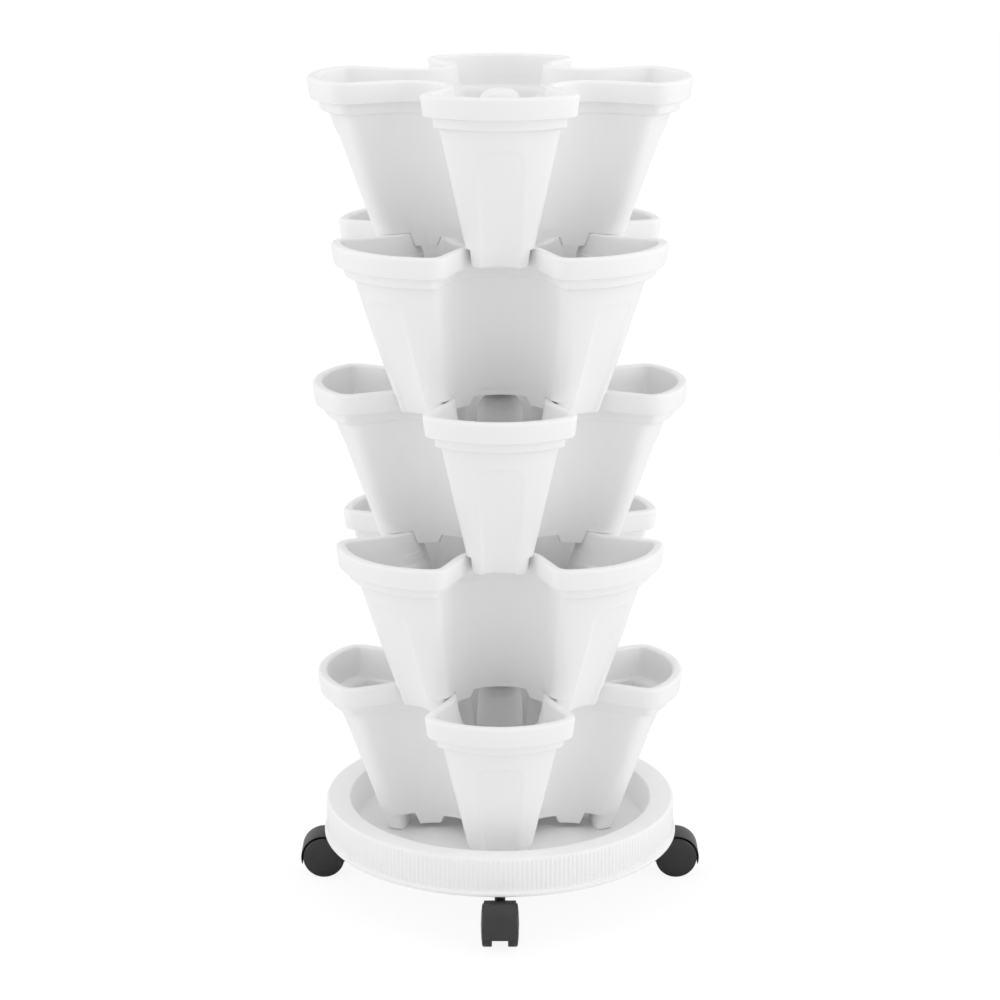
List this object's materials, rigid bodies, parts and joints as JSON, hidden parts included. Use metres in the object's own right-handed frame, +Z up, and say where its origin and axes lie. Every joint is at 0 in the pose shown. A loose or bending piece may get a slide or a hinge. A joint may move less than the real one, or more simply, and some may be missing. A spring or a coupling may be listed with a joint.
{
  "type": "stacked planter tower",
  "caption": "Vertical planter tower: stacked four-lobed pots with pegs and stepped rims, each turned on the one below, in a ribbed round drip tray on swivel casters.",
  "frame": {"origin": "on the floor under the middle of the tray", "axes": "+Z up; the lobes of the lowest pot and the casters point along +X, +Y, -X and -Y; the pictured side faces -Y"},
  "size_m": [0.3874, 0.3874, 0.7777],
  "materials": {
    "white_plastic": "white injection-moulded polypropylene, satin",
    "caster_black": "black moulded nylon, satin",
    "wheel_black": "black moulded nylon, glossy",
    "steel": "zinc-plated steel"
  },
  "bodies": {
    "tray_body": {"tray": "white_plastic"},
    "pot_body_1": {"pot_1": "white_plastic"},
    "pot_body_2": {"pot_2": "white_plastic"},
    "pot_body_3": {"pot_3": "white_plastic"},
    "pot_body_4": {"pot_4": "white_plastic"},
    "pot_body_5": {"pot_5": "white_plastic"},
    "caster_body_1": {"caster_1_hood": "caster_black", "caster_1_stem": "steel", "caster_1_axle": "steel"},
    "wheel_a_1": {"caster_1_wheel_a": "wheel_black"},
    "wheel_b_1": {"caster_1_wheel_b": "wheel_black"},
    "caster_body_2": {"caster_2_hood": "caster_black", "caster_2_stem": "steel", "caster_2_axle": "steel"},
    "wheel_a_2": {"caster_2_wheel_a": "wheel_black"},
    "wheel_b_2": {"caster_2_wheel_b": "wheel_black"},
    "caster_body_3": {"caster_3_hood": "caster_black", "caster_3_stem": "steel", "caster_3_axle": "steel"},
    "wheel_a_3": {"caster_3_wheel_a": "wheel_black"},
    "wheel_b_3": {"caster_3_wheel_b": "wheel_black"},
    "caster_body_4": {"caster_4_hood": "caster_black", "caster_4_stem": "steel", "caster_4_axle": "steel"},
    "wheel_a_4": {"caster_4_wheel_a": "wheel_black"},
    "wheel_b_4": {"caster_4_wheel_b": "wheel_black"}
  },
  "joints": [
    {"name": "lift_pot_1", "type": "slide", "parent": "tray_body", "child": "pot_body_1", "axis": [0, 0, 1], "range_m": [0, 0.05]},
    {"name": "lift_pot_2", "type": "slide", "parent": "pot_body_1", "child": "pot_body_2", "axis": [0, 0, 1], "range_m": [0, 0.05]},
    {"name": "lift_pot_3", "type": "slide", "parent": "pot_body_2", "child": "pot_body_3", "axis": [0, 0, 1], "range_m": [0, 0.05]},
    {"name": "lift_pot_4", "type": "slide", "parent": "pot_body_3", "child": "pot_body_4", "axis": [0, 0, 1], "range_m": [0, 0.05]},
    {"name": "lift_pot_5", "type": "slide", "parent": "pot_body_4", "child": "pot_body_5", "axis": [0, 0, 1], "range_m": [0, 0.05]},
    {"name": "swivel_1", "type": "hinge", "parent": "tray_body", "child": "caster_body_1", "pos_m": [0.155, 0, 0.02], "axis": [0, 0, 1], "continuous": true},
    {"name": "roll_a_1", "type": "hinge", "parent": "caster_body_1", "child": "wheel_a_1", "pos_m": [0.1715, 0, 0.02], "axis": [0, 1, 0], "continuous": true},
    {"name": "roll_b_1", "type": "hinge", "parent": "caster_body_1", "child": "wheel_b_1", "pos_m": [0.1715, 0, 0.02], "axis": [0, 1, 0], "continuous": true},
    {"name": "swivel_2", "type": "hinge", "parent": "tray_body", "child": "caster_body_2", "pos_m": [0, 0.155, 0.02], "axis": [0, 0, 1], "continuous": true},
    {"name": "roll_a_2", "type": "hinge", "parent": "caster_body_2", "child": "wheel_a_2", "pos_m": [0, 0.1715, 0.02], "axis": [-1, 0, 0], "continuous": true},
    {"name": "roll_b_2", "type": "hinge", "parent": "caster_body_2", "child": "wheel_b_2", "pos_m": [0, 0.1715, 0.02], "axis": [-1, 0, 0], "continuous": true},
    {"name": "swivel_3", "type": "hinge", "parent": "tray_body", "child": "caster_body_3", "pos_m": [-0.155, 0, 0.02], "axis": [0, 0, 1], "continuous": true},
    {"name": "roll_a_3", "type": "hinge", "parent": "caster_body_3", "child": "wheel_a_3", "pos_m": [-0.1715, 0, 0.02], "axis": [0, -1, 0], "continuous": true},
    {"name": "roll_b_3", "type": "hinge", "parent": "caster_body_3", "child": "wheel_b_3", "pos_m": [-0.1715, 0, 0.02], "axis": [0, -1, 0], "continuous": true},
    {"name": "swivel_4", "type": "hinge", "parent": "tray_body", "child": "caster_body_4", "pos_m": [0, -0.155, 0.02], "axis": [0, 0, 1], "continuous": true},
    {"name": "roll_a_4", "type": "hinge", "parent": "caster_body_4", "child": "wheel_a_4", "pos_m": [0, -0.1715, 0.02], "axis": [1, 0, 0], "continuous": true},
    {"name": "roll_b_4", "type": "hinge", "parent": "caster_body_4", "child": "wheel_b_4", "pos_m": [0, -0.1715, 0.02], "axis": [1, 0, 0], "continuous": true}
  ]
}
